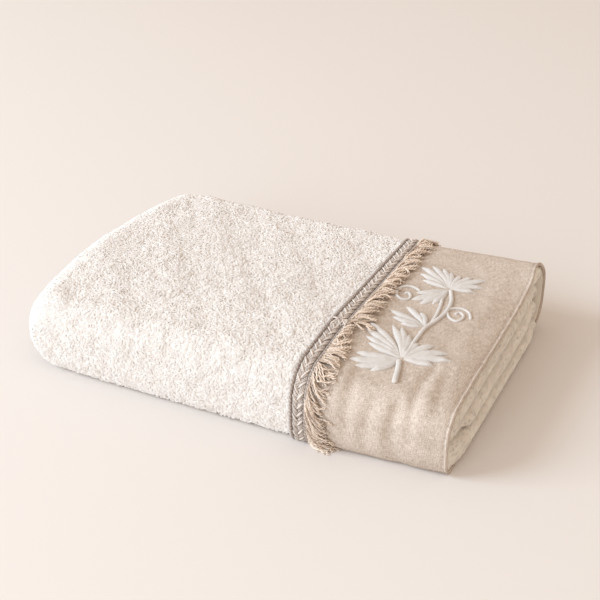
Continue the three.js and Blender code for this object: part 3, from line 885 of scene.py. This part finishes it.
class Skin:
    """The bundle's surface at a depth, read at places along it and at ways round it."""

    def __init__(self, start, end, depth, floor=0.0, relief=None, rows=13, samples=900):
        self.start, self.end, self.rows, self.samples = start, end, rows, samples
        rings = skin_rings(np.linspace(start, end, rows), depth, floor, relief)
        closed = np.concatenate([rings, rings[:, :1]], axis=1)
        steps = np.linalg.norm(np.diff(closed, axis=1), axis=-1)
        travelled = np.concatenate([np.zeros((rows, 1)), np.cumsum(steps, axis=1)], axis=1)
        shares = travelled / travelled[:, -1:]
        self.round = travelled[:, -1].mean()
        self.foot = shares[:, ring_start("front_foot")].mean()
        self.over = (1 - self.foot) * self.round
        even = np.linspace(0, 1, samples + 1)
        self.points = np.array([
            np.stack([np.interp(even, share, column) for column in ring.T], axis=1)
            for share, ring in zip(shares, closed)
        ])
        onward = unit(np.gradient(self.points, axis=1))
        self.out = unit(np.stack([0 * onward[..., 0], -onward[..., 2], onward[..., 1]], axis=-1))

    def at(self, x, way, lift=0.0):
        """Points at places x and ways, lifted off the surface, and the directions out of it."""
        row = np.clip((x - self.start) / (self.end - self.start), 0, 1) * (self.rows - 1)
        column = (self.foot + way / self.round) % 1 * self.samples
        row, column, lift = np.broadcast_arrays(row, column, lift)
        i = np.minimum(row.astype(int), self.rows - 2)
        j = np.minimum(column.astype(int), self.samples - 1)
        u, v = (row - i)[..., None], (column - j)[..., None]

        def read(grid):
            return lerp(lerp(grid[i, j], grid[i + 1, j], u), lerp(grid[i, j + 1], grid[i + 1, j + 1], u), v)

        out = unit(read(self.out))
        return read(self.points) + out * lift[..., None], out


# The braid: a tape, a twisted cord along each edge, and slanting yarns that meet along its middle

# The corners of the tape's section: the place of each, its depth, and its height where it lies on the floor
TAPE = (
    (BRAID_START + 0.4, BRAID_TOP + 0.9, 0.5),
    (BRAID_START + 0.7, BRAID_TOP, 0.1),
    (BRAID_END - 0.6, BRAID_TOP, 0.1),
    (BRAID_END - 0.2, BRAID_TOP + 0.9, 0.5),
    (BRAID_END - 0.3, 3.0, 1.4),
    (BRAID_START + 0.5, 3.0, 1.4),
)
YARN_SINKS = 0.3
CORD = Values(inset=1.5, ply=0.8, offset=0.62, lift=1.0, twist=3.0, steps_a_twist=6, sides=4)
CORD_TONES = Values(plies=(0.0, 0.38, 0.0, 0.38), vary=0.25)
CORD_SIDE = (1.0, 0.0, 0.0)
# The arms of the plait, which are its slanting yarns. Every fourth one is pale
ARM = Values(
    pitch=1.9, slant=6.4, inner=-0.7, steps=12, sides=4, pale_every=4, bead=1.4, shift=2, wander=0.35,
    vary=(0.85, 1.15), roundness=0.7, ends=0.5, swell=0.6, tone_varies=0.1, side=(1.0, 0.3, 0.3),
)
PALE_ARM = {"thickness": 0.78, "lift": 1.1, "arch": 1.0, "tone": 0.84, "beading": 0.1}
DARK_ARM = {"thickness": 0.95, "lift": 0.3, "arch": 0.7, "tone": 0.48, "beading": 0.4}


def braid_tape():
    rings = skin_rings(*zip(*TAPE))
    faces = [skin_faces(len(rings), len(RING), closed_along=True)]
    tone = np.full(rings.size // 3, PLAIN_TONE)
    piece = new_piece("braid_tape", rings, faces, [BRAID], tone=tone)
    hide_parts("braid_trim")
    return piece


def braid_cords(skin):
    """A cord of a dark and a paler ply along each edge, all the way round."""
    twists = round(skin.round / CORD.twist)
    count = twists * CORD.steps_a_twist
    way = np.arange(count + 1) / count * skin.round
    angle = way / skin.round * twists * math.tau
    paths = []
    for x in (BRAID_START + CORD.inset, BRAID_END - CORD.inset):
        for ply in (0, math.pi):
            path, out = skin.at(x + CORD.offset * np.cos(angle + ply), way, CORD.lift)
            path = path + out * (CORD.offset * np.sin(angle + ply))[:, None]
            paths.append(held_up(path, CORD.ply))
    varies = draw.random((len(paths), len(way) * CORD.sides))
    tone = np.array(CORD_TONES.plies)[:, None] + CORD_TONES.vary * varies
    return yarn_piece("braid_cords", paths, CORD.ply, CORD_SIDE, CORD.sides, tone, BRAID)


def braid_plait(skin):
    """Two columns of slanting twisted yarns that meet along the middle, every fourth one pale and raised."""
    count = round(skin.round / ARM.pitch / ARM.pale_every) * ARM.pale_every
    each = (count, 1)
    root = (np.arange(count) / count * skin.round)[:, None]
    is_pale = (np.arange(count) % ARM.pale_every == 0)[:, None]
    looks = (np.where(is_pale, PALE_ARM[key], DARK_ARM[key]) for key in PALE_ARM)
    thickness, lift, arch, shade, beading = looks
    t = np.linspace(0, 1, ARM.steps)[None]
    middle = (BRAID_START + BRAID_END) / 2
    reach = (BRAID_END - BRAID_START) / 2 - 2 * CORD.inset
    length = math.hypot(reach, ARM.slant)
    paths, radii, tones = [], [], []
    for side, shift in ((-1, 0), (1, ARM.shift * ARM.pitch)):
        wander = draw.normal(0, ARM.wander, each)
        way = root + shift + wander - ARM.slant * t * draw.uniform(*ARM.vary, each)
        x = middle + side * lerp(reach, ARM.inner, t)
        path, out = skin.at(x, way, lift + arch * np.sin(t * math.pi) ** ARM.roundness)
        paths.append(held_up(path, thickness))
        bead = np.cos((t * length / ARM.bead + draw.random(each)) * math.tau)
        width = (ARM.ends + ARM.swell * np.sin(t * math.pi)) * draw.uniform(*ARM.vary, each)
        radii.append(thickness * width * (1 + beading * bead))
        tones.append(np.clip(shade + draw.normal(0, ARM.tone_varies, each) + beading * bead, 0, 1))
    paths, radii, tone = np.concatenate(paths), np.concatenate(radii), np.repeat(tones, ARM.sides)
    return yarn_piece("braid_plait", paths, radii, ARM.side, ARM.sides, tone, BRAID)


# A small tangle of yarn on the braid, at a place and a way, where the fringe parts
KNOT = Values(
    at=(75, 123), strands=16, spread=(3.2, 2.4), length=(6, 10), bend=1.2, steps=9, lift=1.4,
    rise=2.6, vary=(0.6, 1.2), roundness=0.7, yarn=0.6, sides=4, tones=(0.6, 1),
)


def braid_knot(skin):
    steps, sides, each = KNOT.steps, KNOT.sides, (KNOT.strands, 1)
    t = np.linspace(-0.5, 0.5, steps)[None]
    start_x, start_way = (draw.normal(0, spread, each) for spread in KNOT.spread)
    length = draw.uniform(*KNOT.length, each)
    turn = draw.uniform(0, math.tau, each)
    bend = draw.normal(0, KNOT.bend, each) * np.cos(t * math.tau)
    x = KNOT.at[0] + start_x + length * np.cos(turn) * t - bend * np.sin(turn)
    way = KNOT.at[1] + start_way + length * np.sin(turn) * t + bend * np.cos(turn)
    rise = KNOT.rise * draw.uniform(*KNOT.vary, each) * np.cos(t * math.pi) ** KNOT.roundness
    path, out = skin.at(x, way, KNOT.lift + rise)
    tone = np.repeat(draw.uniform(*KNOT.tones, KNOT.strands), steps * sides)
    return yarn_piece("braid_knot", path, KNOT.yarn, out, sides, tone, BRAID)


# The fringe: strands of two twisted plies that lie over the linen

FRINGE_STARTS = BRAID_END - 0.5
FRINGE_LEAN = {
    "way": (0, 25, 45, 65, 85, 105, 122, 126, 140, 200, 290, 345),
    "degrees": (-18, -34, -42, -27, -2, 30, 50, 24, 46, 46, 44, 44),
    "droop": (0, -22, -38, -22, 0, 0, 0, 0, 0, 0, 0, 0),
}
FRINGE_LENGTH = {
    "way": (0, 25, 60, 90, 108, 124, 126, 150, 345),
    "shortest": (13, 19, 16, 11, 7, 5, 15, 12, 11),
    "longest": (20, 29, 22, 16, 11, 8, 21, 18, 17),
}
STRANDS = 420
STRAND = Values(ply=0.52, offset=0.42, twists=3.2, steps=17, sides=3)
CLUMP = Values(every=6.5, wander=2.2, wave=11, draw=0.4)
# How far strands stray: the spread of their lean in degrees, and of their sway and curl
STRAY = Values(lean=13, past_knot=20, sway=1.3, waves=(1, 3.2), curl=1.8)
FRINGE_LIFT = Values(least=1, arch=(0.2, 3.2), span=0.85, vary=0.7, fall=0.4)
FRAY = Values(after=0.8, spread=1.6, thin=0.3)
FRINGE_TONE = Values(mean=0.72, spread=0.26, rise=0.45, after=0.4)
FLOOR_WAY = 3


def rows_at(table, way):
    return [np.interp(way, table["way"], row) for name, row in table.items() if name != "way"]


def strand_paths(skin, t):
    """The middle line of each strand, and the directions out of the cloth along it."""
    each = (STRANDS, 1)
    root = ((np.arange(STRANDS) + draw.random(STRANDS)) / STRANDS * skin.over)[:, None]
    degrees, droop = rows_at(FRINGE_LEAN, root)
    stray = np.where(root > KNOT.at[1], STRAY.past_knot, STRAY.lean)
    lean = np.radians(degrees + droop * (1 - t) + draw.normal(0, 1, each) * stray)
    length = lerp(*rows_at(FRINGE_LENGTH, root), draw.random(each))
    wander = CLUMP.wander * np.sin(root / CLUMP.wave)
    clump = np.round((root + wander) / CLUMP.every) * CLUMP.every - wander
    drawn = (clump - root) * CLUMP.draw * t
    sway = draw.normal(0, STRAY.sway, each) * np.sin(t * math.pi * draw.uniform(*STRAY.waves, each))
    curl = draw.normal(0, STRAY.curl, each) * t**3
    step = length / (STRAND.steps - 1)
    x = FRINGE_STARTS + step * (np.cumsum(np.cos(lean), axis=1) - np.cos(lean[:, :1]))
    way = root + step * (np.cumsum(np.sin(lean), axis=1) - np.sin(lean[:, :1])) + drawn + sway + curl
    onto_floor = np.minimum(way - FLOOR_WAY, 0) - np.minimum(skin.over - FLOOR_WAY - way, 0)
    arch = draw.uniform(*FRINGE_LIFT.arch, each) * np.sin(t * math.pi * FRINGE_LIFT.span)
    lift = FRINGE_LIFT.least + arch + FRINGE_LIFT.vary * draw.random(each) - FRINGE_LIFT.fall * t
    path, out = skin.at(x, np.clip(way, FLOOR_WAY, skin.over - FLOOR_WAY), lift)
    path[..., 1] += onto_floor
    path[..., 2] -= np.abs(onto_floor)
    return held_up(path, STRAND.ply), out


def fringe_strands(skin):
    t = np.linspace(0, 1, STRAND.steps)[None]
    path, out = strand_paths(skin, t)
    side = unit(np.cross(unit(np.gradient(path, axis=1)), out))
    turned = t * STRAND.twists * math.tau
    start_turn = draw.uniform(0, math.tau, (STRANDS, 1))
    frayed = smoothstep(t, FRAY.after, 1)
    spread = STRAND.offset * (1 + FRAY.spread * frayed)[..., None]
    plies = []
    for ply in (0, math.pi):
        angle = (turned + ply + start_turn)[..., None]
        plied = path + spread * (np.cos(angle) * side + np.sin(angle) * out)
        plies.append(held_up(plied, STRAND.ply))
    thickness = STRAND.ply * (1 - FRAY.thin * frayed)
    shade = draw.normal(FRINGE_TONE.mean, FRINGE_TONE.spread, (STRANDS, 1))
    shade = np.clip(shade + FRINGE_TONE.rise * (t - FRINGE_TONE.after), 0, 1)
    tone = np.repeat([shade, shade], STRAND.sides)
    paths, sides = np.concatenate(plies), np.concatenate([side, side])
    piece = yarn_piece("fringe_strands", paths, thickness, sides, STRAND.sides, tone, FRINGE)
    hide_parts("fringe")
    return piece


# The sprig: leaves of padded satin-stitched blades, stems and tendrils, laid over the top of the linen

LEAVES = {
    "lower": Values(
        at=(127, -64),
        degrees=(140, 149, 158, 168, 120, 111, 101, 195, 208, 221, 236, 80, 60, 39, 24, 10),
        lengths=(50, 43, 36, 29, 44, 42, 33, 33, 38, 35, 27, 25, 32, 37, 37, 24),
        widths=(8, 8.5, 8.5, 8, 8.5, 8.5, 8, 9, 10, 9.5, 8, 7.5, 9, 9.5, 9.5, 8),
    ),
    "middle": Values(
        at=(127.5, -16),
        degrees=(165, 178, 194, 139, 121),
        lengths=(33, 27, 19, 31, 21),
        widths=(8.5, 8.5, 7, 7.5, 7),
    ),
    "upper": Values(
        at=(125, 43),
        degrees=(144, 156, 170, 130, 118, 106, 86, 66, 48, 32, 15, 218, 232, 246, 260),
        lengths=(40, 32, 24, 38, 33, 27, 24, 28, 34, 28, 20, 27, 35, 33, 26),
        widths=(7.5, 8, 7.5, 8, 7.5, 7, 7, 7.5, 8.5, 8, 7, 8, 9.5, 9, 8),
    ),
}
# A blade: its steps, where it starts and is widest, its stitches, its width at the root, and the powers by
# which it swells to its widest and tapers from there
BLADE = Values(
    steps=56, over=9, under=3, start=1.5, widest=0.58, slim=0.88, height=2.0, stitch=1.2,
    stitch_depth=0.2, edge=0.07, slope=1.5, bend=0.06, sunk=0.3, root=0.1, swell=0.9, taper=1.9,
    fullness=1.3,
)
# The stems and tendrils: the width of each, and the places it passes in plan
STEMS = {
    "stub": (4.2, ((126, -66), (129.5, -78), (132.5, -92))),
    "main": (3.4, ((128, -52), (127.5, -34), (128, -16), (131.5, -3), (134, 12), (132.5, 27), (126.5, 42))),
    "branch": (2.8, ((129.5, -8), (128.5, 6), (127, 18), (124, 30))),
    "left_curl": (
        2.5,
        (
            *((106, 30), (99, 33), (93, 31), (90, 25), (91, 17)),
            *((96, 12.5), (101, 14), (102, 19), (99, 23), (96, 22)),
        ),
    ),
    "right_curl": (2.4, ((134, 12), (139, 5), (145, 3), (148, 8), (147, 13), (143, 15), (141, 11))),
    "right_hook": (2.5, ((134, 14), (138, 19), (144, 21), (150, 18), (154, 10))),
}
STEM = Values(
    step=0.45, curve_step=0.05, fewest=8, sides=10, flatten=0.8, stitch=0.9, stitch_depth=0.07,
    end=0.35, lift=0.25,
)
# Painted light and shade on the stitches: the thread is lighter on each stitch's ridge and darker in the
# groove between stitches
STITCH_PAINTED_SHADING = Values(mean=0.75, ridges=0.25)


def linen_height(x, y):
    """Height of the linen over points in plan, on its top and over its shoulders."""
    front = (along("front", x) + LINEN_TOP, corner("front_shoulder", x))
    back = (-along("back", x) + LINEN_TOP, corner("back_shoulder", x))
    height = 1
    for (wall, (across, share)), outward in ((front, 1), (back, -1)):
        off = np.clip(1 - (y * outward - wall) / (across - LINEN_TOP / 2), 0, 1)
        height = height - share * (1 - np.sqrt(1 - off**2))
    return (crown(x, y) - LINEN_TOP) * height + linen_relief(x, y, height) * relief_share(1)


def blade(at, degrees, length, width):
    """A long dome, flat underneath, with the ridges of its stitches across it, and its tones, which paint
    shade in the grooves between the stitches.
    """
    u = np.linspace(0, 1, BLADE.steps)[:, None]
    over = np.linspace(-1, 1, BLADE.over)
    under = np.linspace(1, -1, BLADE.under + 2)[1:-1]
    v = np.concatenate([over, under])[None]
    is_over = np.arange(v.size) < len(over)
    way = BLADE.start + u * (length - BLADE.start)
    widest = BLADE.widest
    swell = np.sin(math.pi / 2 * np.clip(u / widest, 0, 1)) ** BLADE.swell
    taper = np.sqrt(np.clip(1 - ((u - widest) / (1 - widest)) ** 2, 0, 1)) ** BLADE.taper
    shape = BLADE.root + (1 - BLADE.root) * np.where(u < widest, swell, taper)
    stitch = way / BLADE.stitch * math.tau
    half = BLADE.slim * width / 2 * shape * (1 + BLADE.edge * np.cos(stitch))
    turn = math.radians(degrees)
    aside = half * v + BLADE.bend * length * np.sin(u * math.pi) * math.sin(2 * turn)
    x = at[0] + way * math.cos(turn) - aside * math.sin(turn)
    y = at[1] + way * math.sin(turn) + aside * math.cos(turn)
    ridges = np.cos(stitch + np.abs(v) * half * BLADE.slope) * is_over
    dome = np.sqrt(np.clip(1 - v**2, 0, 1)) * np.minimum(1, shape * BLADE.fullness) * is_over
    z = linen_height(x, y) + dome * (BLADE.height + BLADE.stitch_depth * ridges) - BLADE.sunk
    return np.stack([x, y, z], axis=-1), STITCH_PAINTED_SHADING.mean + STITCH_PAINTED_SHADING.ridges * ridges


def sprig_leaves():
    blades = [
        blade(leaf.at, *looks)
        for leaf in LEAVES.values()
        for looks in zip(leaf.degrees, leaf.lengths, leaf.widths)
    ]
    rings, tones = (np.array(part) for part in zip(*blades))
    count, steps, columns = rings.shape[:3]
    base = np.arange(count)[:, None] * steps * columns
    sides = (base[..., None] + skin_faces(steps, columns)[None]).reshape(-1, 4)
    start = base + np.arange(columns)
    end = base + (steps - 1) * columns + np.arange(columns)[::-1]
    return new_piece("sprig_leaves", rings, [sides, start, end], [THREAD], tone=tones)


def smooth_path(points):
    """A rounded line through some points, in even steps, and how far along it each step is."""
    points = np.asarray(points, float)
    padded = np.concatenate([2 * points[:1] - points[1:2], points, 2 * points[-1:] - points[-2:-1]])
    line = []
    for a, b, c, d in zip(padded, padded[1:], padded[2:], padded[3:]):
        square, cube = 2 * a - 5 * b + 4 * c - d, 3 * b - a - 3 * c + d
        for t in np.arange(0, 1, STEM.curve_step):
            line.append((2 * b + (c - a) * t + square * t**2 + cube * t**3) / 2)
    line = np.array([*line, points[-1]])
    travelled = np.concatenate([[0], np.cumsum(np.linalg.norm(np.diff(line, axis=0), axis=1))])
    even = np.linspace(0, travelled[-1], max(int(travelled[-1] / STEM.step), STEM.fewest))
    return np.stack([np.interp(even, travelled, column) for column in line.T], axis=1), even


def sprig_stems():
    """Round padded stems and tendrils with the ridges of their stitches, and painted shade in the grooves
    between them.
    """
    points, faces, tones = [], [], []
    for width, places in STEMS.values():
        line, way = smooth_path(places)
        radius = width / 2
        ends = np.minimum(1, STEM.end + np.minimum(way, way[-1] - way) / radius)
        ridges = np.cos(way / STEM.stitch * math.tau)
        path = np.column_stack([line, linen_height(*line.T) + radius * STEM.lift])
        side = np.cross(unit(np.gradient(path, axis=0)), (0, 0, 1.0))
        radii = radius * ends * (1 + STEM.stitch_depth * ridges)
        tube, groups = sweep(path[None], radii[None], side[None], STEM.sides, STEM.flatten)
        faces += [group + sum(map(len, points)) for group in groups]
        points.append(tube)
        tones.append(np.repeat(STITCH_PAINTED_SHADING.mean + STITCH_PAINTED_SHADING.ridges * ridges, STEM.sides))
    points, tone = np.concatenate(points), np.concatenate(tones)
    return new_piece("sprig_stems", points, faces, [THREAD], tone=tone)


# Floor, light and camera


def add_stage():
    bpy.ops.object.select_all(action="DESELECT")
    bpy.ops.mesh.primitive_plane_add(size=FLOOR_WIDTH, location=(0, 0, 0))
    floor = bpy.context.object
    floor.name = "floor"
    finish = Finish("pale_floor", Base_Color=colour(217, 210, 204), Roughness=0.9, Specular_IOR_Level=0.1)
    floor.data.materials.append(finish.material)


def add_lamp(name, place, width, watts, tint):
    data = bpy.data.lights.new(name, "AREA")
    data.shape, data.size, data.energy, data.color = "DISK", width, watts, tint
    lamp = bpy.data.objects.new(name, data)
    lamp.location = place
    lamp.rotation_euler = (-lamp.location).to_track_quat("-Z", "Y").to_euler()
    bpy.context.scene.collection.objects.link(lamp)


def add_camera():
    data = bpy.data.cameras.new("camera")
    data.sensor_width = SENSOR_MM
    data.lens = FOCAL_PX * SENSOR_MM / PHOTO_PX
    camera = bpy.data.objects.new("camera", data)
    camera.location = [c * MM for c in CAMERA_AT]
    camera.rotation_euler = (math.radians(90 - CAMERA_DOWN), 0, math.radians(CAMERA_TURN))
    bpy.context.scene.collection.objects.link(camera)
    bpy.context.scene.camera = camera


def add_world():
    world = bpy.data.worlds.new("soft_room")
    world.use_nodes = True
    background = world.node_tree.nodes["Background"]
    background.inputs["Color"].default_value = ROOM.tint
    background.inputs["Strength"].default_value = ROOM.strength
    bpy.context.scene.world = world
    bpy.context.scene.view_settings.view_transform = "Standard"


add_camera()
add_world()
add_stage()
for name, lamp in LAMPS.items():
    add_lamp(name, **lamp)

pile, tufts = pile_rings()
layers = layer_strip()
sheet = terry_sheet(pile, tufts, layers)
loops = [*pile_loops(pile), fold_fuzz(layers)]
linen = linen_sheet()
braid_skin = Skin(BRAID_START, BRAID_END, BRAID_TOP + YARN_SINKS)
fringe_skin = Skin(BRAID_START, FRINGE_REACH, LINEN_TOP, FLOOR_SKIN, linen_relief, rows=41)
trim = [braid_tape(), braid_cords(braid_skin), braid_plait(braid_skin), braid_knot(braid_skin)]
trim += [fringe_strands(fringe_skin), sprig_leaves(), sprig_stems()]
